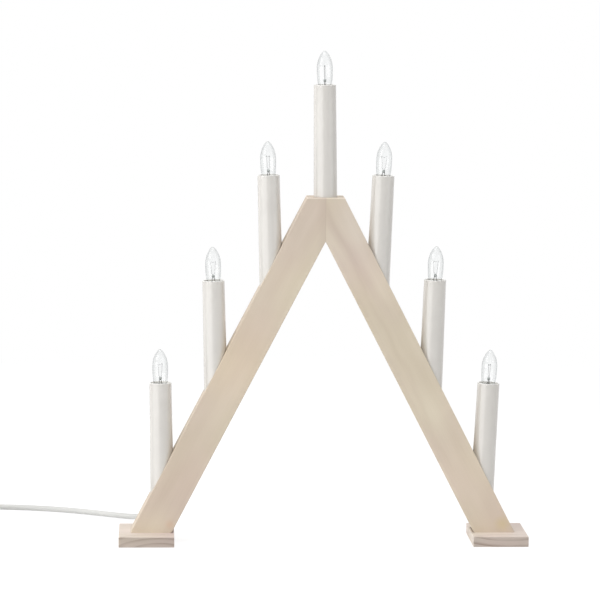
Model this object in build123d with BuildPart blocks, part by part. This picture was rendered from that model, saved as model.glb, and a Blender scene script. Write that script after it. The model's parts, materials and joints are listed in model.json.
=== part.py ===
from build123d import *
from math import atan2, cos, degrees, dist, pi, radians, sin, tan
import os

os.makedirs("parts", exist_ok=True)

# A wooden candle arch: two sloping legs mitred together at the top, two feet, and seven
# plastic candle sleeves with small screw-in lamps, wired in series from one mains cord.
# Lengths are in millimetres and angles in degrees. X runs along the arch, Y from front to
# back and Z up. The origin is on the surface under the arch, midway between the feet.

# Clearances
seat_clearance = 0.1
running_clearance = 0.1
contact_gap = 0.2

# Candle sleeves
tube_length = 99.0
tube_foot_diameter = 19.6
tube_rim_diameter = 18.4
tube_upper_bore = 16.0
tube_lower_bore = 15.0
tube_foot_bore = 16.4
tube_rim_round = 0.5
holder_seat_depth = 28.0

# Wooden frame
overall_width = 340.0
apex_height = 288.5
apex_flat_width = 30.6
leg_width = 30.3
socket_wall = 1.1
leg_edge_round = 0.6
foot_width = 46.0
foot_depth = 60.0
foot_thickness = 8.5
foot_edge_round = 0.6
foot_overhang = 9.7
lowest_seat_height = 50.0
top_socket_depth = 6.6

# Wire ways cut in the back of the legs
groove_width = 5.4
groove_depth = 4.0
groove_edge_wall = 2.8
groove_socket_wall = 2.2
well_diameter = 12.0
well_depth = 8.0
wire_slot_width = 6.0
wire_slot_depth = 8.0
junction_diameter = 16.0

# Wires in the grooves
wire_diameter = 2.0
wire_spacing = 2.5
wire_bend = 2.0
apex_wire_bend = 3.0
well_wire_spacing = 4.0

# Dowels, screws and staples
dowel_diameter = 5.0
dowel_length = 24.0
dowel_spacing = 6.0
dowel_wall = 1.0
dowel_rise = 10.0
dowel_end_chamfer = 0.7
screw_diameter = 3.5
screw_head_diameter = 7.0
screw_length = 18.0
screw_tip_length = 4.0
screw_sink = 0.3
screw_spacing = 13.0
recess_length = 3.6
recess_width = 0.9
recess_depth = 1.2
staple_wire = 1.2
staple_overlap = 1.6
staple_leg_length = 6.0
staple_bend = 0.9

# Lamp holder, with its shell and centre contact
holder_height = 27.0
holder_skirt_height = 6.5
holder_floor_thickness = 3.0
holder_wall = 1.25
holder_skirt_wall = 1.4
holder_flange_thickness = 1.4
holder_mouth_diameter = 13.0
holder_mouth_depth = 3.5
holder_rib_width = 1.2
holder_rib_count = 4
shell_wall = 0.4
shell_height = 13.2
shell_floor_hole = 7.0
contact_length = 5.6
contact_width = 2.6
contact_thickness = 0.35

# Lamp, placed from the rim of its sleeve
cap_depth = 5.2
cap_diameter = 9.5
cap_wall = 0.35
cap_height = 9.2
cap_corner_round = 1.0
cap_floor_hole = 6.0
insulator_height = 1.7
insulator_tip_diameter = 4.4
solder_diameter = 3.0
solder_height = 0.9
glass_diameter = 13.3
glass_height = 33.0
glass_wall = 0.55
glass_neck_length = 3.0
glass_height_shares = (0.0, 0.158, 0.37, 0.536, 0.764, 0.885, 0.965, 1.0)
glass_radius_shares = (0.647, 0.895, 0.977, 1.0, 0.827, 0.564, 0.24, 0.0)

# Filament and its supports, placed from the floor inside the glass
support_wire = 0.4
support_foot_spacing = 3.4
support_foot_length = 3.0
support_spacing = 1.3
support_tip_spacing = 4.6
support_height = 23.0
support_bend = 3.0
bead_diameter = 2.6
bead_length = 2.2
bead_height = 11.3
filament_diameter = 0.3
filament_sag = 0.8

# Strain relief at the back of the left leg
cord_exit_height = 18.0
relief_hole_diameter = 8.1
relief_hole_depth = 9.0
relief_plug_depth = 3.0
relief_collar_diameter = 10.4
relief_collar_thickness = 1.4
relief_root_diameter = 8.6
relief_tip_diameter = 6.2
relief_length = 22.0
relief_groove_count = 5
relief_groove_width = 1.2
relief_groove_depth = 0.7
deep_slot_length = 14.0
exit_wire_depth = 6.8

# Mains cord and plug
cord_diameter = 4.6
coil_pitch = 5.05
coil_outer_radius = 37.2
coil_inward_turns = 3.5
coil_reversal_turns = 0.5
coil_outward_turns = 3.25
plug_relief_length = 20.0
plug_relief_root_diameter = 9.4
plug_width = 35.3
plug_thickness = 13.7
plug_length = 36.0
plug_shoulder_length = 10.0
plug_waist_length = 24.0
plug_waist_width = 26.0
plug_tail_width = 14.0
plug_tail_thickness = 10.6
plug_corner_round = 3.0
grip_groove_count = 4
grip_groove_width = 1.4
grip_groove_depth = 0.6
grip_groove_length = 15.0
grip_groove_step = 3.2
pin_diameter = 4.0
pin_length = 19.0
pin_spacing = 18.6
pin_tip_round = 1.8

# Place of each candle, as a share of the way from the middle to the lowest seats, and its
# lean, as a share of its height, both positive towards +X
candle_place_shares = {
    "left_low": -1,
    "left_mid": -0.671,
    "left_high": -1 / 3,
    "top": 0,
    "right_high": 1 / 3,
    "right_mid": 2 / 3,
    "right_low": 1,
}
candle_lean_shares = {
    "left_low": -0.0175,
    "left_mid": -0.026,
    "left_high": -0.0315,
    "top": -0.014,
    "right_high": 0.04,
    "right_mid": 0.0295,
    "right_low": 0.0435,
}

# Route of the free cord, on the surface from the strain relief to the coil. Each point is
# the centre of the cord: a distance along X and Y from the strain relief, and a height.
cord_rest_height = cord_diameter / 2
cord_route = (
    (0.0, 0.0, cord_exit_height),
    (0.0, 15.0, cord_exit_height),
    (-3.9, 30.5, 13.0),
    (-13.4, 44.0, 6.5),
    (-29.4, 54.5, 2.5),
    (-54.4, 69.5, cord_rest_height),
    (-85.4, 87.0, cord_rest_height),
    (-118.4, 98.5, cord_rest_height),
    (-151.9, 103.9, cord_rest_height),
    (-184.8, 103.9, cord_rest_height),
)
# Route of the coil's tail from the end of the turns to the plug, which lies on the surface
tail_drop = cord_rest_height + coil_pitch - plug_thickness / 2
tail_route = (
    (0.0, 0.0, 0.0),
    (0.0, -15.2, 0.0),
    (-1.5, -30.7, -tail_drop),
    (-1.5, -45.7, -tail_drop),
)

# Frame, worked out from the sizes above
socket_radius = tube_foot_diameter / 2 + seat_clearance
leg_back = socket_radius + socket_wall
outer_foot_x = overall_width / 2 - foot_overhang
leg_run = outer_foot_x - apex_flat_width / 2
lean_slope = leg_run / (apex_height - foot_thickness)
leg_lean = atan2(leg_run, apex_height - foot_thickness)
leg_level_width = leg_width / cos(leg_lean)
inner_foot_x = outer_foot_x - leg_level_width
inner_apex_height = foot_thickness + inner_foot_x / lean_slope
groove_inset = groove_edge_wall + groove_width / 2
groove_apex_height = inner_apex_height + groove_inset / sin(leg_lean)
socket_inset = groove_edge_wall + groove_width + groove_socket_wall
side_socket_level = leg_level_width - socket_inset / cos(leg_lean) - socket_radius
side_socket_depth = side_socket_level / lean_slope
lowest_seat_x = outer_foot_x - lowest_seat_height * lean_slope
back_plane = Plane.XZ.offset(-leg_back)

# Wires
wire_lane = wire_spacing / 2
wire_row = wire_spacing / 2
wire_y = leg_back - groove_depth + wire_diameter / 2 + seat_clearance

# Heights above the foot of a sleeve
holder_foot = tube_length - holder_seat_depth
holder_floor = holder_foot + holder_skirt_height
holder_bore_floor = holder_floor + holder_floor_thickness
holder_top = holder_foot + holder_height
flange_foot = holder_top - holder_flange_thickness
cap_top = tube_length - cap_depth
cap_foot = cap_top - cap_height
solder_foot = cap_foot - insulator_height - solder_height
glass_foot = cap_top - glass_neck_length
glass_tip = cap_top + glass_height


def edge_height(x):
    """Height of a leg's outer edge at a distance from the middle of the arch."""
    return foot_thickness + (outer_foot_x - abs(x)) / lean_slope


def groove_point(side, height, lane=0.0):
    """A point of a leg's wire groove in the plane of the arch, lanes counted outwards."""
    x = (inner_apex_height - height) * lean_slope + (groove_inset + lane) / cos(leg_lean)
    return side * x, height


class Candle:
    """Where one candle stands: its axis, from the foot of its sleeve upwards."""

    def __init__(self, name):
        share = candle_place_shares[name]
        self.name = name
        self.side = (share > 0) - (share < 0)
        seat_x = lowest_seat_x * share
        self.seat = Vector(seat_x, 0, edge_height(seat_x) if self.side else apex_height)
        depth = side_socket_depth if self.side else top_socket_depth
        self.way = Vector(candle_lean_shares[name], 0, 1).normalized()
        self.foot = self.seat - self.way * depth
        self.axis = Axis(self.foot, self.way)
        self.across = Vector(self.way.Z, 0, -self.way.X)
        self.foot_plane = Plane(origin=self.foot, x_dir=self.across, z_dir=self.way)
        self.profile_plane = Plane(origin=self.foot, x_dir=self.across, z_dir=(0, -1, 0))
        self.slot_height = self.foot.Z - well_depth / 2

    def place(self, rise, x=0, y=0):
        """A point at a distance up the axis from the foot, moved across and along Y."""
        return self.foot + self.way * rise + self.across * x + Vector(0, y, 0)

    def at_height(self, height, x=0, y=0):
        """The same, at a height above the surface under the arch."""
        return self.place((height - self.foot.Z) / self.way.Z, x, y)


candles = {name: Candle(name) for name in candle_place_shares}
exit_x, exit_z = groove_point(-1, cord_exit_height)
exit_point = Vector(exit_x, leg_back, exit_z)


def finish(part, name):
    """Name a finished piece and write it to its own file."""
    part.label = name
    export_step(part, f"parts/{name}.step")


# Places of the screws, dowels and staples
screw_middle = (outer_foot_x + inner_foot_x) / 2
screw_places = (screw_middle - screw_spacing / 2, screw_middle + screw_spacing / 2)
dowel_back = leg_back - wire_slot_depth - dowel_wall - dowel_diameter / 2
dowel_places = (dowel_back, dowel_back - dowel_spacing)
dowel_height = inner_apex_height + dowel_rise
staple_stops = sorted(c.seat.Z for c in candles.values() if c.side > 0) + [groove_apex_height]
staple_heights = [(a + b) / 2 for a, b in zip(staple_stops, staple_stops[1:])]


def staple_feet(side, height):
    """The two places on a leg's back where one staple is driven in."""
    reach = groove_width / 2 + staple_overlap
    middle_x, middle_z = groove_point(side, height)
    across_x, across_z = side * cos(leg_lean) * reach, sin(leg_lean) * reach
    return (middle_x - across_x, middle_z - across_z), (middle_x + across_x, middle_z + across_z)


def cut_slot(start, end, width):
    """A round-ended slot between two points of the sketch being drawn."""
    run_x, run_z = end[0] - start[0], end[1] - start[1]
    with Locations(((start[0] + end[0]) / 2, (start[1] + end[1]) / 2)):
        SlotCenterToCenter(dist(start, end), width, rotation=degrees(atan2(run_z, run_x)))


# Legs: boards with a socket and a well for each candle, a groove along the back for the
# wires, and holes for the dowels, screws and staples
def make_leg(side):
    outline = (
        (side * outer_foot_x, foot_thickness),
        (side * inner_foot_x, foot_thickness),
        (0, inner_apex_height),
        (0, apex_height),
        (side * apex_flat_width / 2, apex_height),
    )
    own = [c for c in candles.values() if c.side == side]
    lowest = min(own, key=lambda candle: candle.seat.Z)
    groove_foot = cord_exit_height if side < 0 else lowest.slot_height
    with BuildPart() as leg:
        with BuildSketch(Plane.XZ):
            with BuildLine():
                Polyline(*outline, close=True)
            make_face()
        extrude(amount=leg_back, both=True)
        along = Axis((0, 0, 0), (-side * sin(leg_lean), 0, cos(leg_lean)))
        fillet(leg.edges().filter_by(along), radius=leg_edge_round)
        for candle in own + [candles["top"]]:
            with BuildSketch(candle.foot_plane):
                Circle(socket_radius)
            extrude(amount=tube_length, mode=Mode.SUBTRACT)
            with BuildSketch(candle.foot_plane):
                Circle(well_diameter / 2)
            extrude(amount=-well_depth, mode=Mode.SUBTRACT)
        with BuildSketch(back_plane):
            cut_slot(groove_point(side, groove_foot), (0, groove_apex_height), groove_width)
            with Locations((0, groove_apex_height)):
                Circle(junction_diameter / 2)
        extrude(amount=groove_depth, mode=Mode.SUBTRACT)
        with BuildSketch(back_plane):
            for candle in own:
                well = candle.at_height(candle.slot_height)
                cut_slot(groove_point(side, well.Z), (well.X, well.Z), wire_slot_width)
            top_well = candles["top"].at_height(candles["top"].slot_height)
            cut_slot((0, groove_apex_height), (top_well.X, top_well.Z), wire_slot_width)
        extrude(amount=wire_slot_depth, mode=Mode.SUBTRACT)
        if side < 0:
            with BuildSketch(back_plane):
                slot_top = max(exit_z + deep_slot_length, lowest.slot_height)
                cut_slot((exit_x, exit_z), groove_point(side, slot_top), groove_width)
                with Locations((exit_x, exit_z)):
                    Circle(relief_hole_diameter / 2)
            extrude(amount=relief_hole_depth, mode=Mode.SUBTRACT)
        with BuildSketch(back_plane):
            for height in staple_heights:
                with Locations(*staple_feet(side, height)):
                    Circle(staple_wire / 2 + seat_clearance)
        extrude(amount=staple_leg_length + seat_clearance, mode=Mode.SUBTRACT)
        with BuildSketch(Plane.YZ):
            with Locations(*[(y, dowel_height) for y in dowel_places]):
                Circle(dowel_diameter / 2 + seat_clearance)
        extrude(amount=dowel_length / 2 + seat_clearance, both=True, mode=Mode.SUBTRACT)
        with BuildSketch(Plane.XY):
            with Locations(*[(side * x, 0) for x in screw_places]):
                Circle(screw_diameter / 2 + seat_clearance)
        extrude(amount=screw_sink + screw_length + seat_clearance, mode=Mode.SUBTRACT)
    return leg.part


finish(make_leg(-1), "left_leg")
finish(make_leg(1), "right_leg")


# Feet: flat blocks, each screwed to its leg from below
def make_foot(side):
    sink_radius = screw_head_diameter / 2 + screw_sink + seat_clearance
    with BuildPart() as foot:
        with BuildSketch(Plane.XY):
            with Locations((side * (overall_width - foot_width) / 2, 0)):
                Rectangle(foot_width, foot_depth)
        extrude(amount=foot_thickness)
        fillet(foot.edges() - foot.edges().group_by(Axis.Z)[0], radius=foot_edge_round)
        with Locations(*[Plane((side * x, 0, 0), z_dir=(0, 0, -1)) for x in screw_places]):
            CounterSinkHole(screw_diameter / 2 + seat_clearance, sink_radius, counter_sink_angle=90)
    return foot.part


finish(make_foot(-1), "left_foot")
finish(make_foot(1), "right_foot")


# Countersunk screws that hold the feet, with a cross recess in the head
with BuildPart() as foot_screws:
    shank, head = screw_diameter / 2, screw_head_diameter / 2
    for x in [side * place for side in (-1, 1) for place in screw_places]:
        with BuildSketch(Plane(origin=(x, 0, screw_sink), x_dir=(1, 0, 0), z_dir=(0, -1, 0))):
            with BuildLine():
                Polyline(
                    (0, 0),
                    (head, 0),
                    (shank, head - shank),
                    (shank, screw_length - screw_tip_length),
                    (0, screw_length),
                    close=True,
                )
            make_face()
        revolve(axis=Axis((x, 0, 0), (0, 0, 1)))
        with BuildSketch(Plane((x, 0, screw_sink))):
            Rectangle(recess_length, recess_width)
            Rectangle(recess_width, recess_length)
        extrude(amount=recess_depth, mode=Mode.SUBTRACT)
finish(foot_screws.part, "foot_screws")


# Dowels across the mitre at the apex
with BuildPart() as mitre_dowels:
    with BuildSketch(Plane.YZ):
        with Locations(*[(y, dowel_height) for y in dowel_places]):
            Circle(dowel_diameter / 2)
    extrude(amount=dowel_length / 2, both=True)
    chamfer(mitre_dowels.edges(), length=dowel_end_chamfer)
finish(mitre_dowels.part, "mitre_dowels")


# Candle sleeves: tapered tubes with a ledge inside, on which the lamp holder rests
def make_tube(candle):
    rim, foot = tube_rim_diameter / 2, tube_foot_diameter / 2
    with BuildPart() as tube:
        with BuildSketch(candle.profile_plane):
            with BuildLine():
                Polyline(
                    (tube_foot_bore / 2, 0),
                    (foot, 0),
                    (rim, tube_length),
                    (tube_upper_bore / 2, tube_length),
                    (tube_upper_bore / 2, holder_foot),
                    (tube_lower_bore / 2, holder_foot),
                    close=True,
                )
            make_face()
        revolve(axis=candle.axis)
        rim_edges = tube.faces().sort_by(candle.axis)[-1].edges()
        fillet(rim_edges, radius=tube_rim_round)
    return tube.part


# Lamp holders: a skirt that stands on the ledge, a floor, a ribbed barrel round the shell, and
# a flange with a flared mouth that closes the sleeve just under its rim
skirt_radius = tube_upper_bore / 2 - seat_clearance
shell_radius = cap_diameter / 2 + running_clearance + shell_wall
barrel_bore = shell_radius + seat_clearance
barrel_radius = barrel_bore + holder_wall


def make_holder(candle):
    with BuildPart() as holder:
        with BuildSketch(candle.profile_plane):
            with BuildLine():
                Polyline(
                    (skirt_radius - holder_skirt_wall, holder_foot),
                    (skirt_radius, holder_foot),
                    (skirt_radius, holder_bore_floor),
                    (barrel_radius, holder_bore_floor),
                    (barrel_radius, flange_foot),
                    (skirt_radius, flange_foot),
                    (skirt_radius, holder_top),
                    (holder_mouth_diameter / 2, holder_top),
                    (barrel_bore, holder_top - holder_mouth_depth),
                    (barrel_bore, holder_bore_floor),
                    (0, holder_bore_floor),
                    (0, holder_floor),
                    (skirt_radius - holder_skirt_wall, holder_floor),
                    close=True,
                )
            make_face()
        revolve(axis=candle.axis)
        rib_length = skirt_radius - barrel_radius + holder_wall / 2
        with BuildSketch(candle.foot_plane.offset(holder_bore_floor)):
            with PolarLocations(skirt_radius - rib_length / 2, holder_rib_count):
                Rectangle(rib_length, holder_rib_width)
        extrude(amount=flange_foot - holder_bore_floor)
    return holder.part


# Lamp caps: thin metal cups that screw into the shells
def make_cap(candle):
    outside = cap_diameter / 2
    with BuildPart() as cap:
        with BuildSketch(candle.profile_plane) as profile:
            with BuildLine():
                Polyline(
                    (outside - cap_wall, cap_top),
                    (outside, cap_top),
                    (outside, cap_foot),
                    (cap_floor_hole / 2, cap_foot),
                    (cap_floor_hole / 2, cap_foot + cap_wall),
                    (outside - cap_wall, cap_foot + cap_wall),
                    close=True,
                )
            make_face()
            corner = profile.vertices().sort_by(Axis.Y)[:2].sort_by(Axis.X)[-1]
            fillet(corner, radius=cap_corner_round)
        revolve(axis=candle.axis)
    return cap.part


# Lamp contacts: an insulating cone under the cap, and the solder tip under that
def make_lamp_contact(candle):
    cone, tip = cap_diameter / 2 - cap_corner_round, insulator_tip_diameter / 2
    with BuildPart() as lamp_contact:
        with BuildSketch(candle.foot_plane.offset(cap_foot)):
            Circle(cone)
        with BuildSketch(candle.foot_plane.offset(cap_foot - insulator_height)):
            Circle(tip)
        loft()
        with BuildSketch(candle.foot_plane.offset(cap_foot - insulator_height)):
            Circle(solder_diameter / 2)
        extrude(amount=-solder_height)
    return lamp_contact.part


# Lamp glass: a flame-shaped bulb with a pointed tip, hollow, with its neck inside the cap
def make_glass(candle):
    shares = list(zip(glass_radius_shares, glass_height_shares))[:-1]
    with BuildPart() as glass:
        for inset, mode in ((0, Mode.ADD), (glass_wall, Mode.SUBTRACT)):
            radius, height = glass_diameter / 2, glass_height - inset
            curve = [(radius * across - inset, cap_top + height * up) for across, up in shares]
            curve.append((0, glass_tip - 2 * inset))
            with BuildSketch(candle.profile_plane):
                with BuildLine():
                    Polyline(curve[0], (curve[0][0], glass_foot + inset), (0, glass_foot + inset))
                    Line((0, glass_foot + inset), curve[-1])
                    Spline(*curve)
                make_face()
            revolve(axis=candle.axis, mode=mode)
    return glass.part


# Filament mount: two support wires drawn together in a glass bead and spread again above it,
# with the filament between their tips
def make_filament(candle):
    floor = glass_foot + glass_wall
    tips = []
    with BuildPart() as mount:
        for hand in (-1, 1):
            with BuildLine(candle.profile_plane) as support:
                FilletPolyline(
                    (hand * support_foot_spacing / 2, floor),
                    (hand * support_foot_spacing / 2, floor + support_foot_length),
                    (hand * support_spacing / 2, floor + bead_height - bead_length / 2),
                    (hand * support_spacing / 2, floor + bead_height + bead_length / 2),
                    (hand * support_tip_spacing / 2, floor + support_height),
                    radius=support_bend,
                )
            with BuildSketch(Plane(origin=support.line @ 0, z_dir=support.line % 0)):
                Circle(support_wire / 2)
            sweep()
            tips.append(support.line @ 1)
        with BuildSketch(candle.foot_plane.offset(floor + bead_height - bead_length / 2)):
            Circle(bead_diameter / 2)
        extrude(amount=bead_length)
        with BuildLine() as filament:
            ThreePointArc(tips[0], (tips[0] + tips[1]) / 2 - candle.way * filament_sag, tips[1])
        with BuildSketch(Plane(origin=filament.line @ 0, z_dir=filament.line % 0)):
            Circle(filament_diameter / 2)
        sweep()
    return mount.part


for candle in candles.values():
    finish(make_tube(candle), f"candle_tube_{candle.name}")
    finish(make_holder(candle), f"lamp_holder_{candle.name}")
    finish(make_glass(candle), f"bulb_glass_{candle.name}")
    finish(make_cap(candle), f"bulb_cap_{candle.name}")
    finish(make_lamp_contact(candle), f"bulb_contact_{candle.name}")
    finish(make_filament(candle), f"filament_{candle.name}")

# Shells: metal sleeves with an inward flange, which the lamp caps screw into
with BuildPart() as holder_shells:
    for candle in candles.values():
        with BuildSketch(candle.profile_plane):
            with BuildLine():
                Polyline(
                    (shell_floor_hole / 2, holder_bore_floor),
                    (shell_radius, holder_bore_floor),
                    (shell_radius, holder_bore_floor + shell_height),
                    (shell_radius - shell_wall, holder_bore_floor + shell_height),
                    (shell_radius - shell_wall, holder_bore_floor + shell_wall),
                    (shell_floor_hole / 2, holder_bore_floor + shell_wall),
                    close=True,
                )
            make_face()
        revolve(axis=candle.axis)
finish(holder_shells.part, "holder_shells")

# Centre contacts: strips folded back over themselves to press up on the lamp
with BuildPart() as centre_contacts:
    contact_top = solder_foot - contact_gap
    half, thick = contact_length / 2, contact_thickness
    for candle in candles.values():
        with BuildSketch(candle.profile_plane.offset(-contact_width / 2)):
            with BuildLine():
                Polyline(
                    (-half, holder_bore_floor),
                    (half, holder_bore_floor),
                    (half / 4, contact_top),
                    (-half / 4, contact_top),
                    (-half / 4, contact_top - thick),
                    (half / 8, contact_top - thick),
                    (half - 3 * thick, holder_bore_floor + thick),
                    (-half, holder_bore_floor + thick),
                    close=True,
                )
            make_face()
        extrude(amount=contact_width)
finish(centre_contacts.part, "centre_contacts")


# Wires: single insulated conductors that run from holder to holder through the wells, the
# slots and the grooves
def make_wire(points, bends, diameter=wire_diameter):
    with BuildPart() as wire:
        with BuildLine() as path:
            FilletPolyline(*points, radius=bends)
        with BuildSketch(Plane(origin=path.line @ 0, z_dir=path.line % 0)):
            Circle(diameter / 2)
        sweep()
    return wire.part


def side_tail(candle, row, lane, slot_y=wire_y):
    """A wire's points from a side candle's holder down to its lane of the groove."""
    rise = candle.slot_height + row * wire_row
    y = row * well_wire_spacing / 2
    well = candle.at_height(rise, 0, y)
    lane_x, lane_z = groove_point(candle.side, rise, lane)
    turn = Vector(well.X, slot_y, rise)
    return [candle.place(holder_floor, 0, y), well, turn, Vector(lane_x, slot_y, lane_z)]


def top_tail(side):
    """A wire's points from the top candle's holder down to the outer lane of one leg."""
    top = candles["top"]
    x, y = side * wire_row, side * well_wire_spacing / 2
    well = top.at_height(top.slot_height, x, y)
    lane_rise = (groove_inset + wire_lane) / sin(leg_lean) - side * well.X / lean_slope
    turn = Vector(well.X, wire_y, well.Z)
    lane = Vector(well.X, wire_y, inner_apex_height + lane_rise)
    return [top.place(holder_floor, x, y), well, turn, lane]


def leg_links(side):
    """The wires that join neighbouring candles along one leg, as lists of points."""
    own = sorted((c for c in candles.values() if c.side == side), key=lambda c: c.seat.Z)
    links = []
    for below, above in zip(own, own[1:]):
        lower = side_tail(below, 1, wire_lane)
        upper = side_tail(above, -1, wire_lane)
        links.append(lower + upper[::-1])
    links.append(side_tail(own[-1], 1, wire_lane) + top_tail(side)[::-1])
    return links


links = [make_wire(points, wire_bend) for side in (-1, 1) for points in leg_links(side)]
with BuildPart() as series_wires:
    add(links)
finish(series_wires.part, "series_wires")


def exit_point_at(lane, rise, y):
    """A point of a lane of the left leg's groove, counted up from the strain relief."""
    lane_x, lane_z = groove_point(-1, exit_z + rise, lane)
    return Vector(lane_x, y, lane_z)


exit_y = leg_back - relief_plug_depth
deep_y = leg_back - exit_wire_depth
feed_points = [exit_point_at(wire_lane, 0, y) for y in (exit_y, deep_y)]
feed_points += side_tail(candles["left_low"], -1, wire_lane, deep_y)[::-1]
finish(make_wire(feed_points, wire_bend), "feed_wire")

apex_turn = Vector(0, wire_y, inner_apex_height + (groove_inset - wire_lane) / sin(leg_lean))
return_points = [exit_point_at(-wire_lane, 0, y) for y in (exit_y, deep_y)]
return_points.append(exit_point_at(-wire_lane, deep_slot_length / 2, deep_y))
return_points.append(exit_point_at(-wire_lane, deep_slot_length, wire_y))
return_points.append(apex_turn)
return_points += side_tail(candles["right_low"], -1, -wire_lane)[::-1]
return_bends = [apex_wire_bend if p == apex_turn else wire_bend for p in return_points[1:-1]]
finish(make_wire(return_points, return_bends), "return_wire")


# Staples over the groove, which hold the wires in it
def make_staple(side, height):
    crown, tip = leg_back + seat_clearance + staple_wire / 2, leg_back - staple_leg_length
    (x1, z1), (x2, z2) = staple_feet(side, height)
    corners = [(x1, tip, z1), (x1, crown, z1), (x2, crown, z2), (x2, tip, z2)]
    return make_wire(corners, staple_bend, staple_wire)


staples = [make_staple(side, height) for side in (-1, 1) for height in staple_heights]
with BuildPart() as groove_staples:
    add(staples)
finish(groove_staples.part, "groove_staples")


# Strain relief: a tapered sleeve moulded on the cord and pressed into the leg's back
with BuildPart() as strain_relief:
    collar, root = relief_collar_diameter / 2, relief_root_diameter / 2
    with BuildSketch(Plane(origin=exit_point, x_dir=(1, 0, 0), z_dir=(0, 0, 1))):
        with BuildLine():
            Polyline(
                (0, -relief_plug_depth),
                (relief_hole_diameter / 2 - seat_clearance, -relief_plug_depth),
                (relief_hole_diameter / 2 - seat_clearance, 0),
                (collar, 0),
                (collar, relief_collar_thickness),
                (root, relief_collar_thickness),
                (relief_tip_diameter / 2, relief_length),
                (0, relief_length),
                close=True,
            )
        make_face()
        taper_length = relief_length - relief_collar_thickness
        taper = (root - relief_tip_diameter / 2) / taper_length
        for k in range(1, relief_groove_count + 1):
            along = taper_length * k / (relief_groove_count + 1)
            with Locations((root - taper * along, relief_collar_thickness + along)):
                Rectangle(2 * relief_groove_depth, relief_groove_width, mode=Mode.SUBTRACT)
    revolve(axis=Axis(exit_point, (0, 1, 0)))
finish(strain_relief.part, "strain_relief")


# Free cord: straight runs joined by large arcs
cord_radius = cord_diameter / 2
relief_end = exit_point + Vector(0, relief_length, 0)


def route_radii(points):
    """The arc at each corner of a route, as large as its two runs allow."""
    radii = []
    for before, point, after in zip(points, points[1:], points[2:]):
        arriving, leaving = point - before, after - point
        half_turn = radians(arriving.get_angle(leaving)) / 2
        radii.append(0.45 * min(arriving.length, leaving.length) / tan(half_turn))
    return radii


cord_points = [Vector(relief_end.X + x, relief_end.Y + y, z) for x, y, z in cord_route]
cord_radii = route_radii(cord_points)
with BuildPart() as mains_cord:
    with BuildLine() as cord_path:
        FilletPolyline(*cord_points, radius=cord_radii)
    with BuildSketch(Plane(origin=cord_path.line @ 0, z_dir=cord_path.line % 0)):
        Circle(cord_radius)
    sweep()
finish(mains_cord.part, "mains_cord")

# Coil of the spare cord: it winds inwards on the surface, climbs a layer in the half turn
# where it reverses, and winds outwards again on top
coil_centre = cord_points[-1] + Vector(-cord_diameter, -coil_outer_radius, 0)
coil_reverse = coil_inward_turns + coil_reversal_turns / 2
coil_turns = coil_inward_turns + coil_reversal_turns + coil_outward_turns


def coil_station(quarter):
    """Point and direction of the coil after a number of quarter turns."""
    turn = quarter / 4
    inward = min(turn, coil_reverse)
    outward = max(turn - coil_reverse, 0)
    radius = coil_outer_radius - coil_pitch * (inward - outward)
    climb = min(max((turn - coil_inward_turns) / coil_reversal_turns, 0), 1)
    at_end = turn == 0 or turn == coil_turns
    growth = 0 if at_end or turn == coil_reverse else coil_pitch * (1 if outward else -1)
    rate = coil_pitch / coil_reversal_turns * pi / 2 if 0 < climb < 1 else 0
    angle = pi / 2 + 2 * pi * turn
    outwards = Vector(cos(angle), sin(angle), 0)
    onwards = Vector(-sin(angle), cos(angle), 0)
    point = coil_centre + outwards * radius + Vector(0, 0, coil_pitch * climb)
    way = outwards * growth + onwards * (2 * pi * radius) + Vector(0, 0, rate)
    return point, way.normalized()


def add_biarc(start, start_way, end, end_way):
    """Two tangent arcs from a point and direction to another point and direction."""
    run = end - start
    both = start_way + end_way
    spread = 2 * (1 - start_way.dot(end_way))
    middle = run.dot(both)
    reach = (-middle + (middle**2 + spread * run.dot(run)) ** 0.5) / spread
    first, last = start + start_way * reach, end - end_way * reach
    joint = (first + last) / 2
    TangentArc(start, joint, tangent=start_way)
    TangentArc(joint, end, tangent=last - first)


stations = [coil_station(k) for k in range(round(coil_turns * 4) + 1)]
turns_end = stations[-1][0]
tail_points = [turns_end + Vector(*step) for step in tail_route]
tail_radii = route_radii(tail_points)
with BuildPart() as mains_cord_coil:
    with BuildLine() as coil_path:
        Line(cord_points[-1], stations[0][0])
        for (start, start_way), (end, end_way) in zip(stations, stations[1:]):
            add_biarc(start, start_way, end, end_way)
        FilletPolyline(*tail_points, radius=tail_radii)
    with BuildSketch(Plane(origin=cord_points[-1], z_dir=(-1, 0, 0))):
        Circle(cord_radius)
    sweep(path=coil_path.wires()[0])
finish(mains_cord_coil.part, "mains_cord_coil")

# Plug: a flat moulded body that swells from a tapered cord relief to a wide front, with
# finger grooves on both faces
plug_plane = Plane(origin=tail_points[-1], x_dir=(1, 0, 0), z_dir=(0, -1, 0))
plug_front = plug_relief_length + plug_length
plug_sections = (
    (plug_relief_length, plug_tail_width, plug_tail_thickness),
    (plug_front - plug_waist_length, plug_waist_width, plug_thickness),
    (plug_front - plug_shoulder_length, plug_width, plug_thickness),
    (plug_front, plug_width, plug_thickness),
)
with BuildPart() as plug_body:
    for along, width, thickness in plug_sections:
        with BuildSketch(plug_plane.offset(along)):
            RectangleRounded(width, thickness, plug_corner_round)
    loft(ruled=True)
    with BuildSketch(plug_plane):
        Circle(relief_tip_diameter / 2)
    with BuildSketch(plug_plane.offset(plug_relief_length)):
        Circle(plug_relief_root_diameter / 2)
    loft()
    grip_middle = plug_front - (plug_waist_length + plug_shoulder_length) / 2
    for face in (-1, 1):
        face_plane = Plane(
            origin=tail_points[-1] + Vector(0, -grip_middle, face * plug_thickness / 2),
            x_dir=(1, 0, 0),
            z_dir=(0, 0, -face),
        )
        with BuildSketch(face_plane):
            with GridLocations(0, grip_groove_step, 1, grip_groove_count):
                SlotOverall(grip_groove_length, grip_groove_width)
        extrude(amount=grip_groove_depth, mode=Mode.SUBTRACT)
finish(plug_body.part, "plug_body")

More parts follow.
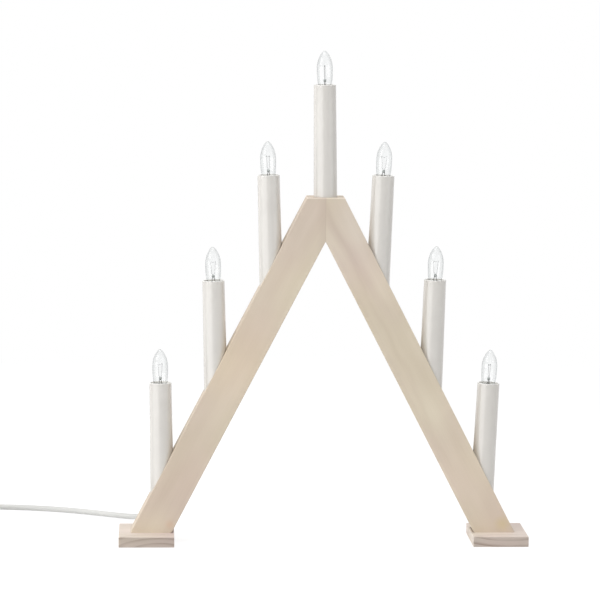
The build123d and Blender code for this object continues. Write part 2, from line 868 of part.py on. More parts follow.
with BuildPart() as plug_pins:
    with BuildSketch(plug_plane.offset(plug_front)):
        with GridLocations(pin_spacing, 0, 2, 1):
            Circle(pin_diameter / 2)
    extrude(amount=pin_length)
    fillet(plug_pins.faces().group_by(Axis.Y)[0].edges(), radius=pin_tip_round)
finish(plug_pins.part, "plug_pins")

# Checks on the cord
cord_length = relief_length + cord_path.wire().length + coil_path.wire().length
print("cord arcs, mm:", [round(radius, 1) for radius in cord_radii + tail_radii])
print("coil, tightest radius, mm:", round(coil_outer_radius - coil_pitch * coil_reverse, 2))
print("cord from the leg to the plug, mm:", round(cord_length, 1))
for tube, path in ((mains_cord, cord_path), (mains_cord_coil, coil_path)):
    expected = pi * cord_radius**2 * path.wire().length
    print("tube volume against section times length:", round(tube.part.volume / expected, 5))
samples = int(coil_path.wire().length / (cord_radius / 2))
beads = [tuple(coil_path.wire() @ (k / samples)) for k in range(samples + 1)]
apart = int(pi * cord_diameter / (cord_radius / 2))
gaps = [dist(a, b) for k, a in enumerate(beads) for b in beads[k + apart :]]
print("coil, least gap to itself, mm:", round(min(gaps) - cord_diameter, 3))
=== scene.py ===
import bpy
import json
from math import asin, cos, pi, radians, sin
from mathutils import Matrix, Vector


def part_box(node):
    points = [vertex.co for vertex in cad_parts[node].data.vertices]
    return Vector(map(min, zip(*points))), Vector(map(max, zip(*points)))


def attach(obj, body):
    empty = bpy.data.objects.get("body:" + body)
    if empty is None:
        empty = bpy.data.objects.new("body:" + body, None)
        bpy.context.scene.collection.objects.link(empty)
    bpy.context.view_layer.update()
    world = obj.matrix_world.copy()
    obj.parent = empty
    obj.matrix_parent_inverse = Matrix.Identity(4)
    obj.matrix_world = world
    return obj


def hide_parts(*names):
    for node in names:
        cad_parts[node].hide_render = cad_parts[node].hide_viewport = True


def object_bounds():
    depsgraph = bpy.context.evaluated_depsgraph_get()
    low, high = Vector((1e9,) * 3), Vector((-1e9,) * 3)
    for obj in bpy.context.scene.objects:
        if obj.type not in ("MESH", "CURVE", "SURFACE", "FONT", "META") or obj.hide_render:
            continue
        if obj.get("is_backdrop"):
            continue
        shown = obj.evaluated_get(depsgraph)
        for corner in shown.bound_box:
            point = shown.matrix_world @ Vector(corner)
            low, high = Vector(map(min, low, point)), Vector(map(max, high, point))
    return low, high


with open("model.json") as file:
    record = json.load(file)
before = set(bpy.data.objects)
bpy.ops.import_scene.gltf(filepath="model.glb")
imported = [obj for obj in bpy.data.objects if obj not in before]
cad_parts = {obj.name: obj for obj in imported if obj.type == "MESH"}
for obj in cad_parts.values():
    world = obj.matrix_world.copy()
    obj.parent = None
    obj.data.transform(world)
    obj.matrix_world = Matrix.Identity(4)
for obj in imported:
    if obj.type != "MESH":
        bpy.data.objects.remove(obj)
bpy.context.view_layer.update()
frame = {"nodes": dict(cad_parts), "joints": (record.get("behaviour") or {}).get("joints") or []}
cad_nodes = frame["nodes"]
scene = bpy.context.scene
scene.view_settings.view_transform = "Standard"

# Camera: a long lens well back from the arch and a little to its left, half a metre up, so
# that the feet show their top faces and the left leg shows a strip of its sloping side.
camera_place = (-0.1412, -2.448, 0.4993)
camera_pan = radians(-2.827)
camera_tilt = radians(90 - 6.907)
camera_roll = radians(0.473)
camera_data = bpy.data.cameras.new("studio_camera")
camera_data.lens = 178.7
camera_data.sensor_width = 36.0
camera_data.clip_end = 50.0
camera = bpy.data.objects.new("studio_camera", camera_data)
scene.collection.objects.link(camera)
camera_turn = Matrix.Rotation(camera_pan, 4, "Z") @ Matrix.Rotation(camera_tilt, 4, "X")
camera_turn = camera_turn @ Matrix.Rotation(camera_roll, 4, "Z")
camera.matrix_world = Matrix.Translation(camera_place) @ camera_turn
scene.camera = camera


# Mains cord: round two-core cord in a pale plastic sheath. It leaves the strain relief on
# the back of the left leg, drops to the surface and sweeps out to the left, where the spare
# length is wound into a flat coil, in along the surface and out again on top.
cord_diameter = 0.0046
cord_exit = Vector((-0.12745, 0.033, 0.0))
# steps from the place below the cord's exit, up to the coil
cord_run = (
    (0.0, 0.0, 0.018),
    (0.0, 0.015, 0.018),
    (-0.0039, 0.0305, 0.013),
    (-0.0134, 0.044, 0.0065),
    (-0.0294, 0.0545, 0.0025),
    (-0.0544, 0.0695, 0.0023),
    (-0.0854, 0.087, 0.0023),
    (-0.1184, 0.0985, 0.0023),
    (-0.1519, 0.1039, 0.0023),
    (-0.1848, 0.1039, 0.0023),
)
# steps from the coil's end to the plug
cord_tail = ((0.0, -0.0152, 0.0), (-0.0015, -0.0307, -0.0005), (-0.0015, -0.0457, -0.0005))
coil_pitch = 0.00505
coil_radius = 0.0372
coil_turns_in = 3.5
coil_turns_up = 0.5
coil_turns_out = 3.25
points_per_turn = 16

cord_line = [cord_exit + Vector(step) for step in cord_run]
coil_start = cord_line[-1] + Vector((-cord_diameter, 0, 0))
coil_centre = coil_start + Vector((0, -coil_radius, 0))
turns_before_reverse = coil_turns_in + coil_turns_up / 2
turns_in_all = coil_turns_in + coil_turns_up + coil_turns_out
cord_line.append(coil_start)
for k in range(1, round(turns_in_all * points_per_turn)):
    turn = k / points_per_turn
    layer = min(max((turn - coil_turns_in) / coil_turns_up, 0.0), 1.0)
    from_reverse = abs(turn - turns_before_reverse)
    radius = coil_radius - coil_pitch * (turns_before_reverse - from_reverse)
    # the curve runs inside its control points, so these lie a little further out
    radius /= cos(pi / points_per_turn)
    angle = pi / 2 + 2 * pi * turn
    around = Vector((cos(angle) * radius, sin(angle) * radius, coil_pitch * layer))
    cord_line.append(coil_centre + around)
coil_end_radius = coil_radius - coil_pitch * (coil_turns_in - coil_turns_out)
coil_end = coil_centre + Vector((-coil_end_radius, 0, coil_pitch))
cord_line.append(coil_end)
cord_line += [coil_end + Vector(step) for step in cord_tail]

cord_curve = bpy.data.curves.new("mains_lead", "CURVE")
cord_curve.dimensions = "3D"
cord_curve.bevel_depth = cord_diameter / 2
cord_curve.bevel_resolution = 6
cord_curve.resolution_u = 6
cord_curve.use_fill_caps = True
cord_spline = cord_curve.splines.new("NURBS")
cord_spline.points.add(len(cord_line) - 1)
for point, place in zip(cord_spline.points, cord_line):
    point.co = (*place, 1.0)
cord_spline.order_u = 3
cord_spline.use_endpoint_u = True
mains_lead = bpy.data.objects.new("mains_lead", cord_curve)
scene.collection.objects.link(mains_lead)


def add_node(owner, kind, settings=None, **inputs):
    """Adds a node to a material or a world. Each input gets a value, or a link from a node."""
    node = owner.node_tree.nodes.new(kind)
    for key, value in (settings or {}).items():
        setattr(node, key, value)
    for key, value in inputs.items():
        fill_socket(owner, node.inputs[key.replace("_", " ")], value)
    return node


def fill_socket(owner, socket, value):
    """Gives a node's input a value, or a link from another node."""
    if isinstance(value, bpy.types.NodeSocket):
        owner.node_tree.links.new(value, socket)
    else:
        socket.default_value = value


def calculate(owner, operation, *values):
    """A sum on values, each a number or a link from another node."""
    node = add_node(owner, "ShaderNodeMath", {"operation": operation})
    for socket, value in zip(node.inputs, values):
        fill_socket(owner, socket, value)
    return node.outputs["Value"]


def new_material(name, **inputs):
    """A material whose Principled shader has the given values on its own sockets."""
    material = bpy.data.materials.new(name)
    material.use_nodes = True
    shader = material.node_tree.nodes["Principled BSDF"]
    for key, value in inputs.items():
        shader.inputs[key.replace("_", " ")].default_value = value
    return material, shader


def object_coordinates(material):
    """Places on the object, in metres."""
    return add_node(material, "ShaderNodeTexCoord").outputs["Object"]


def noise(material, vector, scale, detail):
    """Soft noise as a value."""
    node = add_node(material, "ShaderNodeTexNoise", Vector=vector, Scale=scale, Detail=detail)
    return node.outputs["Fac"]


def blend_colours(material, vector, scale, detail, low, high, colours):
    """Noise that runs between two colours, from low to high, as a colour output."""
    ramp = add_node(material, "ShaderNodeValToRGB", Fac=noise(material, vector, scale, detail))
    ends = ramp.color_ramp.elements
    for end, position, colour in zip(ends, (low, high), colours):
        end.position = position
        end.color = (*colour, 1.0)
    return ramp.outputs["Color"]


def add_relief(material, shader, vector, scale, detail, distance, strength=1.0):
    """Fine noise as bump on a shader."""
    height = noise(material, vector, scale, detail)
    bump = add_node(material, "ShaderNodeBump", Height=height, Distance=distance, Strength=strength)
    material.node_tree.links.new(bump.outputs["Normal"], shader.inputs["Normal"])


def vary_roughness(material, shader, vector, scale, low, high):
    """Noise that moves a shader's roughness between two values."""
    gloss = noise(material, vector, scale, 2.0)
    spread = add_node(material, "ShaderNodeMapRange", Value=gloss, To_Min=low, To_Max=high)
    material.node_tree.links.new(spread.outputs["Result"], shader.inputs["Roughness"])


def moulded_plastic(name, light, dark, roughness, speck=900.0, relief=0.00002):
    """Moulded plastic: a barely mottled colour, a fine orange-peel skin and uneven gloss."""
    material, shader = new_material(name)
    place = object_coordinates(material)
    colour = blend_colours(material, place, 45.0, 2.0, 0.35, 0.65, (dark, light))
    material.node_tree.links.new(colour, shader.inputs["Base Color"])
    vary_roughness(material, shader, place, 60.0, roughness - 0.05, roughness + 0.07)
    add_relief(material, shader, place, speck, 2.0, relief)
    return material


cord_plastic = moulded_plastic("cord_plastic", (0.72, 0.72, 0.70), (0.68, 0.68, 0.66), 0.42)
cord_curve.materials.append(cord_plastic)
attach(mains_lead, "arch")
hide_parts("mains_cord", "mains_cord_coil")


# Strain relief: a tapered sleeve with ring grooves, moulded on the cord in the same soft
# plastic and pressed into the back of the leg.
def finish_node(name, material):
    """Gives a CAD node its material."""
    mesh = cad_nodes[name].data
    mesh.materials.clear()
    mesh.materials.append(material)


finish_node("strain_relief", cord_plastic)


# Plug: a flat two-pin plug moulded on the end of the cord, wide at the front and waisted
# for the fingers, with four grip grooves on each face and a ribbed sleeve at the back.
plug_length = 0.056
cord_end = cord_line[-1]
plug_front = cord_end.y - plug_length
# the body's sections: how far behind the front, how wide and how high
plug_sections = (
    (0.010, 0.0353, 0.0137),
    (0.017, 0.0305, 0.0136),
    (0.024, 0.0254, 0.0133),
    (0.030, 0.0205, 0.0122),
    (0.036, 0.0140, 0.0106),
)
block_length, plug_width, plug_height = plug_sections[0]


def select_facing(mesh, way):
    """Selects only the faces that look one way. The object is in object mode."""
    for part in (mesh.vertices, mesh.edges, mesh.polygons):
        part.foreach_set("select", [False] * len(part))
    for face in mesh.polygons:
        face.select = face.normal.dot(Vector(way)) > 0.9


def use_only(piece):
    """Deselects all and makes one object the selected, active one."""
    bpy.ops.object.select_all(action="DESELECT")
    piece.select_set(True)
    bpy.context.view_layer.objects.active = piece


def place_in_mesh(piece):
    """Moves an object's place, turn and size into its mesh."""
    use_only(piece)
    bpy.ops.object.transform_apply(location=True, rotation=True, scale=True)


def apply_modifier(piece, kind, **settings):
    """Adds a modifier to an object and applies it."""
    use_only(piece)
    modifier = piece.modifiers.new(kind.lower(), kind)
    for key, value in settings.items():
        setattr(modifier, key, value)
    bpy.ops.object.modifier_apply(modifier=modifier.name)


block_middle = (cord_end.x, plug_front + block_length / 2, cord_end.z)
bpy.ops.object.select_all(action="DESELECT")
bpy.ops.mesh.primitive_cube_add(size=1.0, location=block_middle)
plug = bpy.context.object
plug.name = "plug_shell"
plug.scale = (plug_width, block_length, plug_height)
place_in_mesh(plug)
for last, section in zip(plug_sections, plug_sections[1:]):
    select_facing(plug.data, (0, 1, 0))
    bpy.ops.object.mode_set(mode="EDIT")
    bpy.ops.mesh.select_mode(type="FACE")
    bpy.ops.mesh.extrude_region_move(TRANSFORM_OT_translate={"value": (0, section[0] - last[0], 0)})
    grow = (section[1] / last[1], 1, section[2] / last[2])
    centre = (cord_end.x, plug_front + section[0], cord_end.z)
    bpy.ops.transform.resize(value=grow, center_override=centre)
    bpy.ops.object.mode_set(mode="OBJECT")
apply_modifier(plug, "BEVEL", width=0.0026, segments=4, angle_limit=radians(50))
apply_modifier(plug, "SUBSURF", levels=1, render_levels=1)


def close_loop():
    """Fills the selected loop of edges with faces that meet in its middle. In edit mode."""
    bpy.ops.mesh.extrude_region_move(TRANSFORM_OT_translate={"value": (0, 0, 0)})
    bpy.ops.mesh.merge(type="CENTER")


def turned_form(name, rings, sides=32, open_foot=False, open_top=False):
    """A turned form on the Z axis: a circle drawn up from ring to ring, each (radius, height)."""
    bpy.ops.object.select_all(action="DESELECT")
    radius, height = rings[0]
    bpy.ops.mesh.primitive_circle_add(vertices=sides, radius=radius, location=(0, 0, height))
    piece = bpy.context.object
    piece.name = name
    place_in_mesh(piece)
    bpy.ops.object.mode_set(mode="EDIT")
    bpy.ops.mesh.select_mode(type="EDGE")
    bpy.ops.mesh.select_all(action="SELECT")
    if not open_foot:
        close_loop()
        bpy.ops.mesh.select_all(action="SELECT")
        bpy.ops.mesh.region_to_loop()
    for next_radius, next_height in rings[1:]:
        rise = (0, 0, next_height - height)
        bpy.ops.mesh.extrude_region_move(TRANSFORM_OT_translate={"value": rise})
        grow = next_radius / radius
        bpy.ops.transform.resize(value=(grow, grow, 1), center_override=(0, 0, next_height))
        radius, height = next_radius, next_height
    if not open_top:
        close_loop()
    bpy.ops.mesh.select_all(action="SELECT")
    bpy.ops.mesh.remove_doubles(threshold=0.000001)
    bpy.ops.mesh.normals_make_consistent(inside=False)
    bpy.ops.object.mode_set(mode="OBJECT")
    return piece


def smooth(piece, angle):
    """Shades an object smooth except across edges sharper than an angle."""
    use_only(piece)
    bpy.ops.object.shade_smooth_by_angle(angle=radians(angle))


def move_mesh(piece, matrix):
    """Moves an object by a matrix and puts the move into its mesh."""
    piece.matrix_world = matrix
    place_in_mesh(piece)


def join_pieces(main, *others):
    """Joins objects into the first one."""
    bpy.ops.object.select_all(action="DESELECT")
    for piece in (main, *others):
        piece.select_set(True)
    bpy.context.view_layer.objects.active = main
    bpy.ops.object.join()


def cut_away(piece, cutter):
    """Cuts one closed object out of another and deletes the cutter."""
    apply_modifier(piece, "BOOLEAN", object=cutter, operation="DIFFERENCE", solver="EXACT")
    bpy.data.objects.remove(cutter)


# the finger grooves are cut with round-ended bars laid across both faces
groove_rings = [
    (0.0004, -0.0075),
    (0.0009, -0.0071),
    (0.0011, -0.0064),
    (0.0011, 0.0064),
    (0.0009, 0.0071),
    (0.0004, 0.0075),
]
grooves_start = 0.0122
groove_spacing = 0.0032
groove_count = 4
groove_bar_lift = 0.0003
groove_bars = []
for face in (-1, 1):
    for k in range(groove_count):
        bar = turned_form(f"groove_bar_{face}_{k}", groove_rings, sides=16)
        along = plug_front + grooves_start + groove_spacing * k
        height = cord_end.z + face * (plug_height / 2 + groove_bar_lift)
        lay = Matrix.Translation((cord_end.x, along, height)) @ Matrix.Rotation(pi / 2, 4, "Y")
        move_mesh(bar, lay)
        groove_bars.append(bar)
join_pieces(*groove_bars)
cut_away(plug, groove_bars[0])

# the sleeve grows from the cord to the body in six soft rings, with grooves between them
sleeve_radius = 0.0031
sleeve_growth = 0.0016
groove_depth = 0.0006
ring_spacing = 0.0033
ring_count = 6
sleeve_rings = []
for k in range(ring_count):
    foot = 0.0003 + ring_spacing * k
    radius = sleeve_radius + sleeve_growth * k / (ring_count - 1)
    sleeve_rings += [
        (radius - groove_depth, foot),
        (radius - groove_depth, foot + 0.0007),
        (radius, foot + 0.0013),
        (radius, foot + 0.0029),
    ]
sleeve_rings.append((sleeve_radius + sleeve_growth, 0.0215))
sleeve = turned_form("plug_sleeve", sleeve_rings, sides=40)
apply_modifier(sleeve, "BEVEL", width=0.0003, segments=2, angle_limit=radians(25))
apply_modifier(sleeve, "WELD", merge_threshold=0.00001)
move_mesh(sleeve, Matrix.Translation(cord_end) @ Matrix.Rotation(pi / 2, 4, "X"))
join_pieces(plug, sleeve)
smooth(plug, 40.0)
plug.data.materials.append(cord_plastic)
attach(plug, "arch")
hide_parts("plug_body")


# Plug pins: turned brass pins with bright nickel plate and rounded tips. Next to the plug
# each is thinner and wears a moulded sleeve of the plug's plastic.
def plated_metal(name, colour, roughness):
    """Plated or bare metal with a slightly uneven polish."""
    material, shader = new_material(name, Base_Color=(*colour, 1.0), Metallic=1.0)
    place = object_coordinates(material)
    vary_roughness(material, shader, place, 400.0, roughness - 0.07, roughness + 0.1)
    add_relief(material, shader, place, 800.0, 3.0, 0.00001)
    return material


pin_rings = [
    (0.00185, 0.0),
    (0.00185, 0.0095),
    (0.002, 0.0097),
    (0.002, 0.0172),
    (0.00188, 0.0181),
    (0.0015, 0.0187),
    (0.0008, 0.019),
]
pin_collar_rings = [(0.002, 0.0), (0.002, 0.0093), (0.0019, 0.0096)]
pin_offset = 0.0093
nickel_plate = plated_metal("nickel_plate", (0.66, 0.63, 0.58), 0.24)
pins = []
for side in (-1, 1):
    metal = turned_form(f"pin_metal_{side}", pin_rings)
    metal.data.materials.append(nickel_plate)
    collar = turned_form(f"pin_collar_{side}", pin_collar_rings)
    collar.data.materials.append(cord_plastic)
    for part in (metal, collar):
        place = Matrix.Translation((cord_end.x + side * pin_offset, plug_front, cord_end.z))
        move_mesh(part, place @ Matrix.Rotation(pi / 2, 4, "X"))
    pins += [metal, collar]
join_pieces(*pins)
plug_pins = pins[0]
plug_pins.name = "plug_pin_pair"
smooth(plug_pins, 30.0)
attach(plug_pins, "arch")
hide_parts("plug_pins")


# Wooden frame: planed softwood boards, whitewashed, so that the grain shows only as soft
# blotches on the legs. The feet are cut from boards whose sawn edges show their growth rings
# and are left darker.
def mixed(material, kind, share, first, second):
    """One colour over another, as a colour output."""
    mix = add_node(
        material, "ShaderNodeMixRGB", {"blend_type": kind}, Fac=share, Color1=first, Color2=second
    )
    return mix.outputs["Color"]


def tinted(material, share, colour, tint):
    """A colour times a tint, by a share from 0 to 1."""
    return mixed(material, "MULTIPLY", share, colour, (*tint, 1.0))


def stretched(material, grain, along, across):
    """Grain coordinates scaled along and across the grain."""
    scale = (along, across, across)
    return add_node(material, "ShaderNodeMapping", Vector=grain, Scale=scale).outputs["Vector"]


def faded(material, value, start, end, low=1.0, high=0.0):
    """A value that goes softly from low to high between two places."""
    fade = add_node(
        material,
        "ShaderNodeMapRange",
        {"interpolation_type": "SMOOTHSTEP"},
        Value=value,
        From_Min=start,
        From_Max=end,
        To_Min=low,
        To_Max=high,
    )
    return fade.outputs["Result"]


def component(material, vector, axis):
    """One component of a vector, as a value."""
    return add_node(material, "ShaderNodeSeparateXYZ", Vector=vector).outputs[axis]


def facing(material, axis):
    """How far the surface faces along an axis, from -1 to 1."""
    normal = add_node(material, "ShaderNodeNewGeometry").outputs["Normal"]
    return component(material, normal, axis)


# The wood's colour is multiplied by these layers of noise: patches that lean to pink or to
# yellow, pale and dark clouds, and fibres. Each row gives the noise's stretch along and across
# the grain, its detail, its start and end, and two tints.
wood_layers = (
    (13.0, 24.0, 1.0, 0.35, 0.65, (1.0, 0.965, 0.97), (1.0, 1.0, 0.95)),
    (24.0, 30.0, 0.5, 0.3, 0.7, (0.965, 0.96, 0.96), (1.025, 1.025, 1.025)),
    (30.0, 800.0, 2.0, 0.3, 0.7, (0.985, 0.985, 0.98), (1.008, 1.008, 1.008)),
)


def whitewashed_wood(name, lean, warm, pale, marks=()):
    """Whitewashed wood in long soft blotches of two colours. Its grain runs along X after a
    turn about Y by lean degrees. A mark is a function that draws on the wood's colour."""
    material, shader = new_material(name)
    place = object_coordinates(material)
    turn = (0, radians(lean), 0)
    grain = add_node(material, "ShaderNodeMapping", Vector=place, Rotation=turn).outputs["Vector"]
    blotches = stretched(material, grain, 16.0, 62.0)
    colour = blend_colours(material, blotches, 1.0, 1.0, 0.30, 0.70, (warm, pale))
    for along, across, detail, low, high, *tints in wood_layers:
        layer_place = stretched(material, grain, along, across)
        layer = blend_colours(material, layer_place, 1.0, detail, low, high, tints)
        colour = mixed(material, "MULTIPLY", 1.0, colour, layer)
    for mark in marks:
        colour = mark(material, place, grain, colour)
    material.node_tree.links.new(colour, shader.inputs["Base Color"])
    vary_roughness(material, shader, stretched(material, grain, 60.0, 700.0), 1.0, 0.52, 0.72)
    fibres = stretched(material, grain, 40.0, 900.0)
    add_relief(material, shader, fibres, 1.0, 2.0, 0.00006, strength=0.4)
    return material


def growth_rings(heart, stretch, width, share, sawn_share):
    """Growth rings round a heart, drawn out along the grain. The sawn front and back edges are
    darker than the planed faces, and show the rings by a share of their own."""
    def draw(material, place, grain, colour):
        ring_place = add_node(
            material,
            "ShaderNodeMapping",
            {"vector_type": "TEXTURE"},
            Vector=grain,
            Location=heart,
            Scale=(stretch, 1.0, 1.0),
        )
        # at scale 1 the rings of a wave texture lie pi / 10 apart
        growth = add_node(
            material,
            "ShaderNodeTexWave",
            {"wave_type": "RINGS", "rings_direction": "SPHERICAL", "wave_profile": "SAW"},
            Vector=ring_place.outputs["Vector"],
            Scale=pi / 10 / width,
            Distortion=2.2,
            Detail=1.5,
            Detail_Scale=0.35,
        )
        late = faded(material, growth.outputs["Fac"], 0.45, 0.97, 0.0, 1.0)
        drift = noise(material, stretched(material, grain, 30.0, 60.0), 1.0, 1.0)
        late = calculate(material, "MULTIPLY", late, faded(material, drift, 0.35, 0.65, 0.35, 1.0))
        sawn = calculate(material, "ABSOLUTE", facing(material, "Y"))
        darker = tinted(material, 1.0, colour, (0.70, 0.68, 0.665))
        colour = mixed(material, "MIX", sawn, colour, darker)
        depth = faded(material, sawn, 0.0, 1.0, share, sawn_share)
        late = calculate(material, "MULTIPLY", late, depth)
        return tinted(material, late, colour, (0.60, 0.545, 0.51))
    return draw


def streak(start, slope, half_width, fade, tint):
    """A soft streak nearly along the grain, from a place (along, across) to where it fades out."""
    def draw(material, place, grain, colour):
        along = component(material, grain, "X")
        across = component(material, grain, "Z")
        wave = noise(material, stretched(material, grain, 28.0, 5.0), 1.0, 1.0)
        wander = calculate(material, "MULTIPLY_ADD", wave, 0.010, -0.005)
        from_start = calculate(material, "SUBTRACT", along, start[0])
        middle = calculate(material, "MULTIPLY_ADD", from_start, slope, start[1])
        off = calculate(material, "SUBTRACT", across, calculate(material, "ADD", middle, wander))
        share = faded(material, calculate(material, "ABSOLUTE", off), 0.0, half_width)
        share = calculate(material, "MULTIPLY", share, faded(material, along, *fade))
        return tinted(material, share, colour, tint)
    return draw


def stain(centre, reach, tint):
    """A soft stain round a place, or a cloud that is paler than the wood."""
    def draw(material, place, grain, colour):
        away = add_node(material, "ShaderNodeVectorMath", {"operation": "DISTANCE"}, Vector=place)
        away.inputs[1].default_value = centre
        share = faded(material, away.outputs["Value"], 0.0, reach)
        return tinted(material, share, colour, tint)
    return draw


def mitre_shade(reach, tint):
    """A shade that fades away from the mitre, in the middle of the arch."""
    def draw(material, place, grain, colour):
        off = calculate(material, "ABSOLUTE", component(material, place, "X"))
        return tinted(material, faded(material, off, 0.0, reach), colour, tint)
    return draw


def painted_edge_highlight(height, depth, tint):
    """A painted highlight: a pale line along the top edge, where the planed corner catches the
    light.
    """
    def draw(material, place, grain, colour):
        up = component(material, place, "Z")
        share = faded(material, up, height - 2 * depth, height - depth, 0.0, 1.0)
        upright = faded(material, facing(material, "Z"), 0.8, 0.9)
        share = calculate(material, "MULTIPLY", share, upright)
        return tinted(material, share, colour, tint)
    return draw


def painted_overhang_shade(edge, reach, depth, tint):
    """Painted shade on a foot: a dark line along the inner edge of its leg, where the leg leans
    over it.
    """
    def draw(material, place, grain, colour):
        off = calculate(material, "SUBTRACT", component(material, place, "X"), edge)
        share = faded(material, calculate(material, "ABSOLUTE", off), 0.0, reach)
        back = calculate(material, "ABSOLUTE", component(material, place, "Y"))
        past_leg = faded(material, back, depth, depth + reach)
        share = calculate(material, "MULTIPLY", share, past_leg)
        return tinted(material, share, colour, tint)
    return draw


leg_lean = 62.58
leg_half_depth = 0.011
leg_front = -leg_half_depth
leg_inner_edge = 0.1262
leg_warm = (0.68, 0.59, 0.48)
leg_pale = (0.74, 0.655, 0.545)
arch_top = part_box("left_leg")[1][2]
# a painted highlight along the top edge of both legs
edge_highlight = painted_edge_highlight(arch_top, 0.0007, (1.22, 1.25, 1.30))
left_wood = whitewashed_wood(
    "left_leg_wood",
    leg_lean,
    leg_warm,
    leg_pale,
    marks=(
        # the shade at the mitre, and the joint itself
        mitre_shade(0.009, (0.93, 0.92, 0.92)),
        mitre_shade(0.0005, (0.86, 0.84, 0.82)),
        # a reddish stain by the foot
        stain((-0.1275, leg_front, 0.0155), 0.0058, (1.0, 0.91, 0.86)),
        # a dark, a pale and a dark cloud from the foot to the mitre
        stain((-0.120, leg_front, 0.050), 0.065, (0.945, 0.905, 0.935)),
        stain((-0.075, leg_front, 0.155), 0.060, (1.065, 1.04, 1.01)),
        stain((-0.012, leg_front, 0.265), 0.050, (0.935, 0.915, 0.95)),
        streak((-0.10, -0.135), 0.02, 0.006, (0.02, 0.06), (0.965, 0.955, 0.95)),
        # the painted highlight along the top edge
        edge_highlight,
    ),
)
right_wood = whitewashed_wood(
    "right_leg_wood",
    -leg_lean,
    leg_warm,
    leg_pale,
    marks=(
        # a broad streak that rises from the foot, and a faint one above it
        streak((-0.2215, 0.1290), 0.10, 0.0075, (-0.185, -0.120), (0.93, 0.905, 0.915)),
        streak((-0.10, 0.126), -0.03, 0.004, (-0.03, 0.02), (0.965, 0.955, 0.95)),
        # a yellowish stain by the foot
        stain((0.150, leg_front, 0.016), 0.009, (0.985, 0.975, 0.80)),
        # pale clouds near the foot and the mitre
        stain((0.130, leg_front, 0.050), 0.065, (1.07, 1.045, 1.07)),
        stain((0.025, leg_front, 0.260), 0.050, (1.02, 1.04, 1.08)),
        # the painted highlight along the top edge
        edge_highlight,
    ),
)
finish_node("left_leg", left_wood)
finish_node("right_leg", right_wood)

foot_front = -0.030
foot_warm = (0.78, 0.69, 0.63)
foot_pale = (0.83, 0.745, 0.69)
# the colour of the painted shade along each leg's inner edge, where the leg leans over its foot
overhang_shade_tint = (0.34, 0.30, 0.29)
left_foot_wood = whitewashed_wood(
    "left_foot_wood",
    0.0,
    foot_warm,
    foot_pale,
    marks=(
        growth_rings((-0.136, -0.028, -0.004), 3.2, 0.0040, 0.25, 0.75),
        stain((-0.135, foot_front, 0.003), 0.045, (0.93, 0.915, 0.92)),
        # painted shade along the leg's inner edge, where it leans over the foot
        painted_overhang_shade(-leg_inner_edge, 0.0024, leg_half_depth, overhang_shade_tint),
    ),
)
right_foot_wood = whitewashed_wood(
    "right_foot_wood",
    0.0,
    foot_warm,
    foot_pale,
    marks=(
        growth_rings((0.152, -0.030, 0.0245), 2.6, 0.0050, 0.25, 0.95),
        stain((0.112, foot_front, 0.002), 0.024, (0.90, 0.95, 0.96)),
        stain((0.142, foot_front, 0.003), 0.030, (1.07, 1.07, 1.07)),
        # painted shade along the leg's inner edge, where it leans over the foot
        painted_overhang_shade(leg_inner_edge, 0.0020, leg_half_depth, overhang_shade_tint),
    ),
)
finish_node("left_foot", left_foot_wood)
finish_node("right_foot", right_foot_wood)


# Dowels and screws: two beech dowels across the mitre, and zinc-plated wood screws driven
# up through the feet.
dowel_wood = whitewashed_wood("dowel_wood", 0.0, (0.66, 0.48, 0.30), (0.72, 0.55, 0.36))
finish_node("mitre_dowels", dowel_wood)
zinc_plate = plated_metal("zinc_plate", (0.60, 0.61, 0.62), 0.38)
finish_node("foot_screws", zinc_plate)


# Candle sleeves: thin tapered tubes of satin ivory plastic, pushed into sockets in the legs.
# Their rims get a painted highlight: faces that look upwards are made paler, where the rims catch
# the light.
ivory_plastic = moulded_plastic(
    "ivory_plastic", (0.735, 0.71, 0.67), (0.71, 0.685, 0.645), 0.15, speck=700.0, relief=0.000002
)
ivory_shader = ivory_plastic.node_tree.nodes["Principled BSDF"]
ivory_shader.inputs["Specular IOR Level"].default_value = 0.75
ivory_colour = ivory_shader.inputs["Base Color"].links[0].from_socket
# painted highlight: faces that look upwards, such as the rims, are made paler than the sleeve
rim_highlight_share = faded(ivory_plastic, facing(ivory_plastic, "Z"), 0.25, 0.6, 0.0, 1.0)
rim_highlight_colour = mixed(ivory_plastic, "MIX", rim_highlight_share, ivory_colour, (0.93, 0.92, 0.90, 1.0))
ivory_plastic.node_tree.links.new(rim_highlight_colour, ivory_shader.inputs["Base Color"])
candles = [joint["name"].removeprefix("unscrew_") for joint in frame["joints"]]
for candle in candles:
    finish_node(f"candle_tube_{candle}", ivory_plastic)


# Lamp holders inside the sleeves: ribbed white plastic, each with a brass shell for the
# lamp's thread and a bronze strip that touches the lamp's tip.
holder_plastic = moulded_plastic("holder_plastic", (0.80, 0.79, 0.75), (0.76, 0.75, 0.71), 0.5)
for candle in candles:
    finish_node(f"lamp_holder_{candle}", holder_plastic)
shell_brass = plated_metal("shell_brass", (0.76, 0.56, 0.26), 0.3)
finish_node("holder_shells", shell_brass)
contact_bronze = plated_metal("contact_bronze", (0.68, 0.42, 0.22), 0.34)
finish_node("centre_contacts", contact_bronze)


# Wires: single stranded wires in pale plastic, laid in the grooves on the legs' backs and
# held there by zinc-plated staples.
wire_plastic = moulded_plastic("wire_plastic", (0.80, 0.80, 0.78), (0.76, 0.76, 0.74), 0.45)
for name in ("series_wires", "return_wire", "feed_wire"):
    finish_node(name, wire_plastic)
finish_node("groove_staples", zinc_plate)


